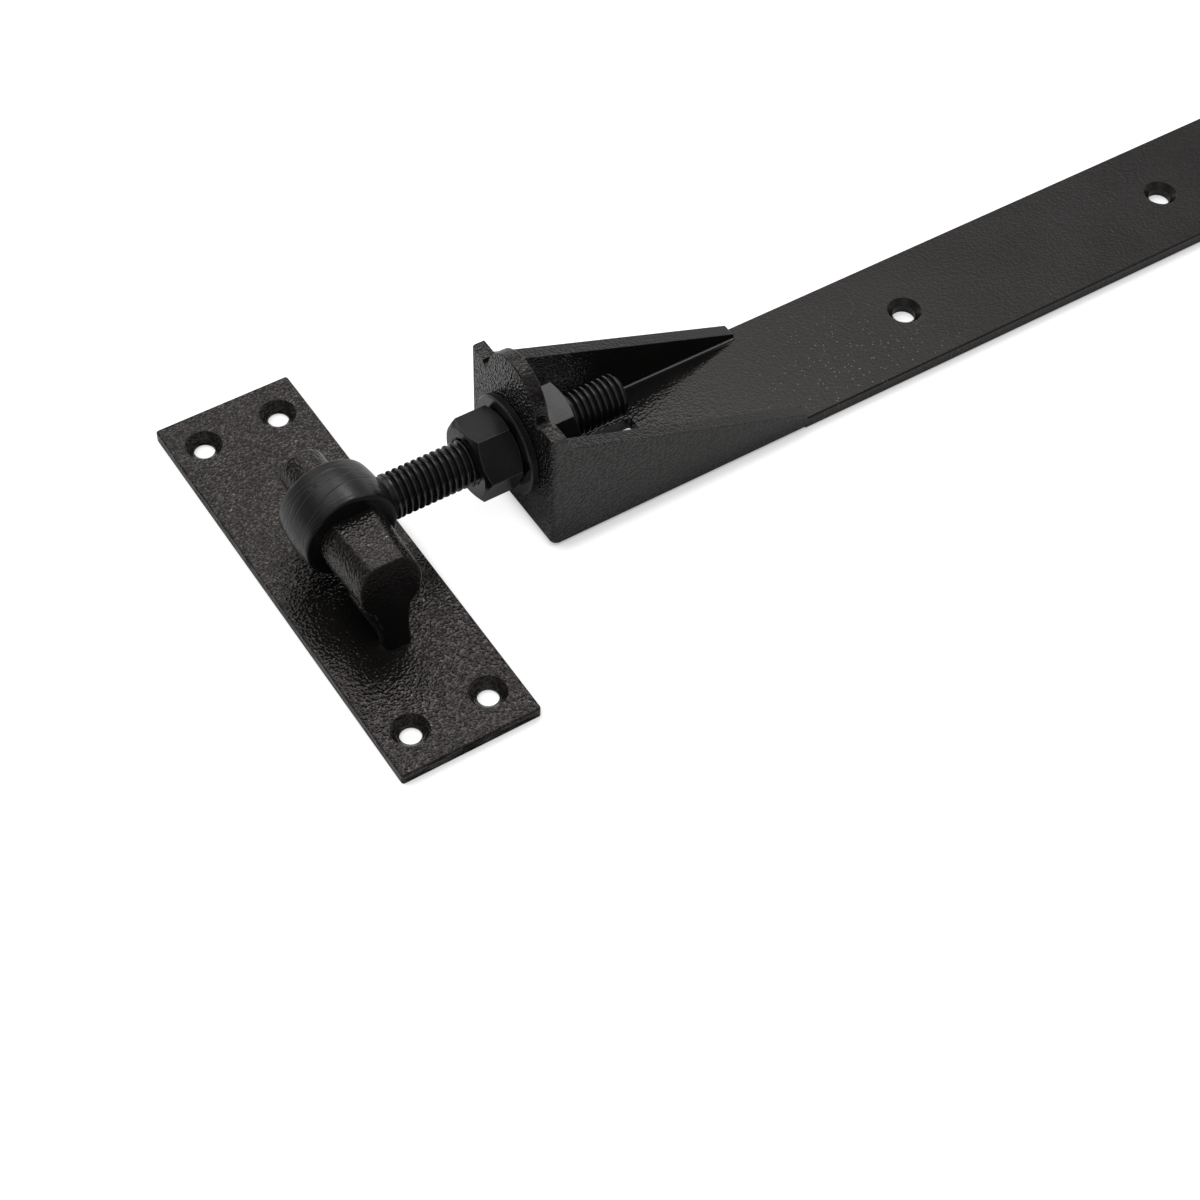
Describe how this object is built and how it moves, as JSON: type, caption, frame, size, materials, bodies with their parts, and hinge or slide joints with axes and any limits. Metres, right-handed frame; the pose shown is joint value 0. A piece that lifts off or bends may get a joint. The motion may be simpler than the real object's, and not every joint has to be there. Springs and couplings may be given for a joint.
{
  "type": "hook and band gate hinge",
  "caption": "Adjustable gate hinge: a hook on a plate holds the eye of a threaded rod, and nuts set the rod in a long folded band.",
  "frame": {"origin": "middle of the plate's back, straight behind the axis of the pin", "axes": "+X along the band to its far end, +Y along the pin to its free end, +Z away from the post and the gate"},
  "size_m": [0.5385, 0.167, 0.065],
  "materials": {
    "plate_coat": "textured black powder coat, semi-gloss",
    "hook_coat": "textured black powder coat over a forging",
    "bolt_coat": "smooth satin black over a forging",
    "nut_coat": "smooth satin black",
    "band_coat": "textured black powder coat, semi-gloss"
  },
  "bodies": {
    "hook_plate": {"post_plate": "plate_coat", "hook_pin": "hook_coat"},
    "eye_bolt": {"eye_bolt": "bolt_coat"},
    "band": {"band": "band_coat", "outer_washer": "nut_coat"},
    "outer_nut": {"outer_nut": "nut_coat"},
    "inner_nut": {"inner_nut": "nut_coat"}
  },
  "joints": [
    {"name": "swing", "type": "hinge", "parent": "hook_plate", "child": "eye_bolt", "pos_m": [0, -0.0024, 0.0288], "axis": [0, -1, 0], "range_deg": [0, 170]},
    {"name": "band_adjust", "type": "slide", "parent": "eye_bolt", "child": "band", "axis": [1, 0, 0], "range_m": [-0.024, 0.019]},
    {"name": "outer_nut_turn", "type": "hinge", "parent": "band", "child": "outer_nut", "pos_m": [0.05335, -0.0024, 0.0288], "axis": [1, 0, 0], "range_deg": [-3747, 2968]},
    {"name": "inner_nut_turn", "type": "hinge", "parent": "band", "child": "inner_nut", "pos_m": [0.07565, -0.0024, 0.0288], "axis": [1, 0, 0], "range_deg": [-3747, 2968]}
  ],
  "couplings": [
    {"joint": "outer_nut_turn", "follows": "band_adjust", "rad_per_m": 2721.1},
    {"joint": "inner_nut_turn", "follows": "band_adjust", "rad_per_m": 2721.1}
  ]
}
